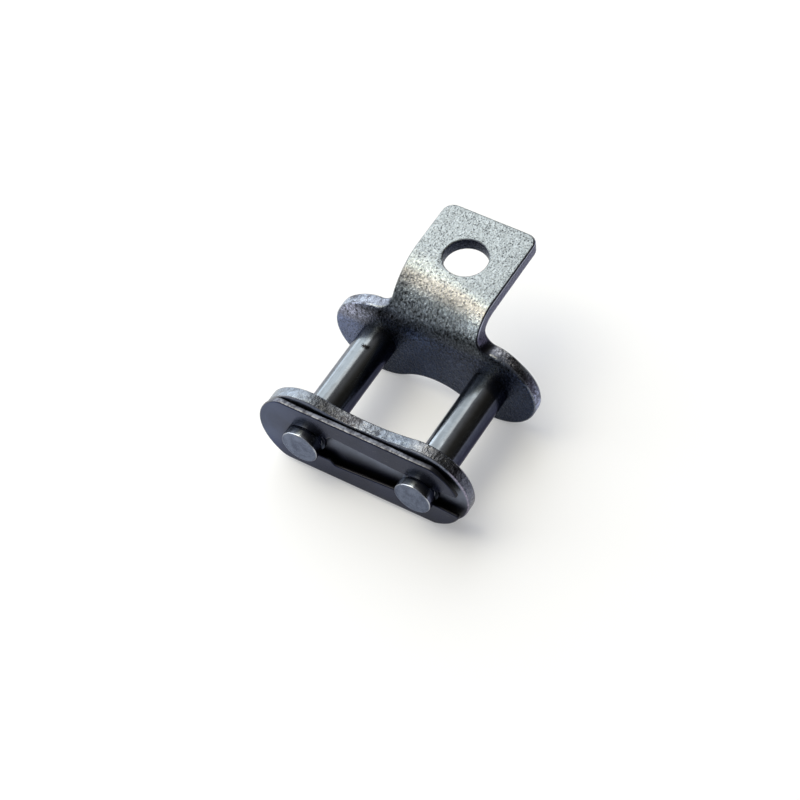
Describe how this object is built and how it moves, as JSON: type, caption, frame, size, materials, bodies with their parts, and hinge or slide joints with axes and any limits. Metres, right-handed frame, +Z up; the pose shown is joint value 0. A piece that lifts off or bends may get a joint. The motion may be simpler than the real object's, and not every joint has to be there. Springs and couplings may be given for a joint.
{
  "type": "roller chain connecting link with attachment tab",
  "caption": "Roller chain connecting link with grooved pins, a loose cover plate, a spring clip and a bent attachment tab with a hole.",
  "frame": {"origin": "the middle of the link: halfway between the pin axes and halfway between the two plates, at the height of the pin axes", "axes": "+X along the pitch, from the clip's closed end towards its open end; +Y along the pins, from the clip towards the attachment tab; +Z up, towards the top of the tab"},
  "size_m": [0.023, 0.0276, 0.0137],
  "materials": {
    "blasted_plate": "shot-blasted grey steel, lightly oiled",
    "pin_steel": "ground, hardened steel",
    "clip_steel": "smooth dark spring steel"
  },
  "bodies": {
    "pin_link": {"attachment_plate": "blasted_plate", "pin_nose": "pin_steel", "pin_tail": "pin_steel"},
    "cover": {"cover_plate": "blasted_plate"},
    "clip": {"spring_clip": "clip_steel"}
  },
  "joints": [
    {"name": "cover_slide", "type": "slide", "parent": "pin_link", "child": "cover", "axis": [0, 1, 0], "range_m": [0, 0.0114]},
    {"name": "clip_release", "type": "slide", "parent": "pin_link", "child": "clip", "axis": [-1, 0, 0], "range_m": [0, 0.0055], "deforming": ["spring_clip"]}
  ]
}
